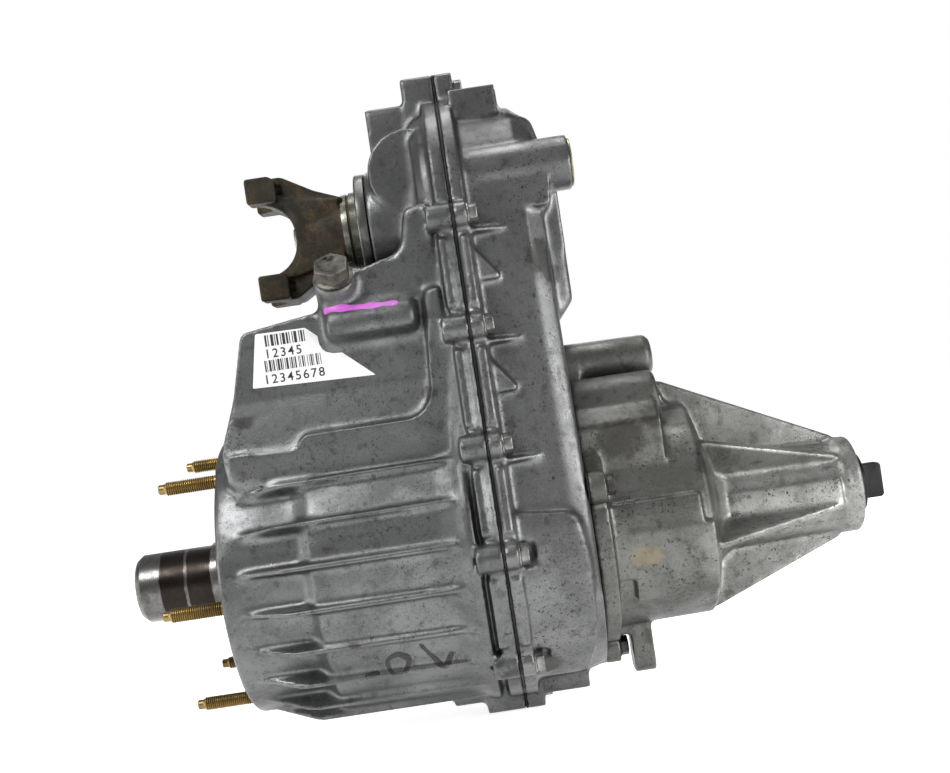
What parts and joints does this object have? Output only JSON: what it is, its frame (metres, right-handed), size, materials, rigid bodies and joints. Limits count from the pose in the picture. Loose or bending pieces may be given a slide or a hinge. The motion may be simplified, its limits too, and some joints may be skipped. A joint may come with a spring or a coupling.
{
  "type": "transfer case",
  "caption": "Two-speed chain-drive transfer case: ribbed gear drum on a mounting face, chain case with a front output yoke, finned tail housing.",
  "frame": {"origin": "centre of the face that bolts to the gearbox, on the main shaft line", "axes": "+X back along the main shaft towards the tail, +Z towards the front output shaft, +Y the side of the shift lever"},
  "size_m": [0.5655, 0.254, 0.4783],
  "materials": {
    "cast_aluminium": "die-cast, satin with fine grain and light stains",
    "black_sealant": "cured silicone sealant, satin",
    "zinc_yellow_steel": "yellow zinc plated",
    "black_bolt_steel": "black oxide",
    "machined_steel": "turned and ground, oiled",
    "gear_steel": "case hardened, oiled",
    "brown_yoke_steel": "brown phosphate with light rust",
    "plated_sheet": "zinc plated sheet",
    "rusty_steel": "light surface rust",
    "seal_rubber": "oil-seal rubber",
    "black_plastic": "moulded, semi-matt",
    "bushing_bronze": "sintered bronze",
    "spring_steel": "oil tempered"
  },
  "bodies": {
    "housing": {"front_case": "cast_aluminium", "rear_case": "cast_aluminium", "extension_housing": "cast_aluminium", "case_sealant": "black_sealant", "extension_gasket": "black_sealant", "mounting_studs": "zinc_yellow_steel", "case_bolts": "plated_sheet", "extension_bolts": "black_bolt_steel", "cup_plug": "zinc_yellow_steel", "oil_plugs": "black_bolt_steel", "breather_tube": "plated_sheet", "speed_sensor": "black_plastic", "tail_bushing": "bushing_bronze", "tail_seal": "seal_rubber", "needle_bearing": "machined_steel", "input_seal": "seal_rubber", "front_output_seal": "seal_rubber", "annulus_gear": "gear_steel", "oil_pump": "cast_aluminium", "oil_pickup": "plated_sheet", "drive_chain": "gear_steel", "shift_rail": "machined_steel", "mode_spring": "spring_steel", "spring_clip": "machined_steel", "detent_plug": "rusty_steel", "detent_spring": "spring_steel", "input_bearing_outer": "machined_steel", "output_bearing_outer": "machined_steel", "front_bearing_outer": "machined_steel"},
    "output": {"main_shaft": "machined_steel", "mode_hub": "gear_steel", "tone_wheel": "gear_steel", "pump_rotor": "gear_steel", "output_bearing_inner": "machined_steel"},
    "input": {"input_gear": "machined_steel", "input_bearing_inner": "machined_steel"},
    "carrier": {"planet_carrier": "gear_steel"},
    "planet_1": {"planet_gear_1": "gear_steel"},
    "planet_2": {"planet_gear_2": "gear_steel"},
    "planet_3": {"planet_gear_3": "gear_steel"},
    "chain_sprocket": {"drive_sprocket": "gear_steel"},
    "front_output": {"front_output_shaft": "machined_steel", "driven_sprocket": "gear_steel", "front_output_yoke": "brown_yoke_steel", "yoke_nut": "plated_sheet", "yoke_slinger": "plated_sheet", "front_bearing_inner": "machined_steel"},
    "input_cage": {"input_bearing_balls": "machined_steel"},
    "output_cage": {"output_bearing_balls": "machined_steel"},
    "front_cage": {"front_bearing_balls": "machined_steel"},
    "range_sleeve": {"range_sleeve": "gear_steel"},
    "mode_sleeve": {"mode_sleeve": "gear_steel"},
    "shift_lever": {"shift_sector": "gear_steel", "shift_lever": "brown_yoke_steel"},
    "range_fork": {"range_fork": "gear_steel"},
    "mode_fork": {"mode_fork": "gear_steel"},
    "detent": {"detent_plunger": "machined_steel"},
    "tail_plug": {"shipping_plug": "black_plastic"}
  },
  "joints": [
    {"name": "output_spin", "type": "hinge", "parent": "housing", "child": "output", "pos_m": [0.1, 0, 0], "axis": [1, 0, 0], "continuous": true, "deforming": ["drive_chain"]},
    {"name": "input_spin", "type": "hinge", "parent": "housing", "child": "input", "pos_m": [0.1, 0, 0], "axis": [1, 0, 0], "continuous": true},
    {"name": "carrier_spin", "type": "hinge", "parent": "housing", "child": "carrier", "pos_m": [0.1, 0, 0], "axis": [1, 0, 0], "continuous": true},
    {"name": "planet_1_spin", "type": "hinge", "parent": "carrier", "child": "planet_1", "pos_m": [0.1, 0.066, 0], "axis": [1, 0, 0], "continuous": true},
    {"name": "planet_2_spin", "type": "hinge", "parent": "carrier", "child": "planet_2", "pos_m": [0.1, -0.033, 0.05716], "axis": [1, 0, 0], "continuous": true},
    {"name": "planet_3_spin", "type": "hinge", "parent": "carrier", "child": "planet_3", "pos_m": [0.1, -0.033, -0.05716], "axis": [1, 0, 0], "continuous": true},
    {"name": "sprocket_spin", "type": "hinge", "parent": "housing", "child": "chain_sprocket", "pos_m": [0.1, 0, 0], "axis": [1, 0, 0], "continuous": true},
    {"name": "front_output_spin", "type": "hinge", "parent": "housing", "child": "front_output", "pos_m": [0.1, 0, 0.24447], "axis": [1, 0, 0], "continuous": true},
    {"name": "input_cage_spin", "type": "hinge", "parent": "housing", "child": "input_cage", "pos_m": [0.1, 0, 0], "axis": [1, 0, 0], "continuous": true},
    {"name": "output_cage_spin", "type": "hinge", "parent": "housing", "child": "output_cage", "pos_m": [0.1, 0, 0], "axis": [1, 0, 0], "continuous": true},
    {"name": "front_cage_spin", "type": "hinge", "parent": "housing", "child": "front_cage", "pos_m": [0.1, 0, 0.24447], "axis": [1, 0, 0], "continuous": true},
    {"name": "lever_turn", "type": "hinge", "parent": "housing", "child": "shift_lever", "pos_m": [0.107, 0, 0.148], "axis": [0, -1, 0], "range_deg": [0, 22.9]},
    {"name": "range_fork_slide", "type": "slide", "parent": "housing", "child": "range_fork", "axis": [1, 0, 0], "range_m": [0, 0.01351]},
    {"name": "range_sleeve_slide", "type": "slide", "parent": "output", "child": "range_sleeve", "axis": [1, 0, 0], "range_m": [0, 0.01351]},
    {"name": "mode_fork_slide", "type": "slide", "parent": "housing", "child": "mode_fork", "axis": [-1, 0, 0], "range_m": [0, 0.012], "deforming": ["mode_spring"]},
    {"name": "mode_sleeve_slide", "type": "slide", "parent": "output", "child": "mode_sleeve", "axis": [-1, 0, 0], "range_m": [0, 0.012]},
    {"name": "detent_press", "type": "slide", "parent": "housing", "child": "detent", "axis": [0, -0.7071, 0.7071], "range_m": [0, 0.003], "stiffness_N_per_m": 1200, "springref_m": -0.002, "deforming": ["detent_spring"]},
    {"name": "tail_plug_pull", "type": "slide", "parent": "housing", "child": "tail_plug", "axis": [1, 0, 0], "range_m": [0, 0.15]}
  ],
  "couplings": [
    {"joint": "input_spin", "follows": "output_spin", "ratio": 1},
    {"joint": "carrier_spin", "follows": "output_spin", "ratio": 0.36458},
    {"joint": "planet_1_spin", "follows": "output_spin", "ratio": -1.7107},
    {"joint": "planet_2_spin", "follows": "output_spin", "ratio": -1.7107},
    {"joint": "planet_3_spin", "follows": "output_spin", "ratio": -1.7107},
    {"joint": "sprocket_spin", "follows": "output_spin", "ratio": 1},
    {"joint": "front_output_spin", "follows": "output_spin", "ratio": 1},
    {"joint": "input_cage_spin", "follows": "output_spin", "ratio": 0.4},
    {"joint": "output_cage_spin", "follows": "output_spin", "ratio": 0.4},
    {"joint": "front_cage_spin", "follows": "output_spin", "ratio": 0.4},
    {"joint": "range_fork_slide", "follows": "lever_turn", "m_per_rad": 0.033774},
    {"joint": "range_sleeve_slide", "follows": "lever_turn", "m_per_rad": 0.033774},
    {"joint": "mode_sleeve_slide", "follows": "mode_fork_slide", "ratio": 1}
  ]
}
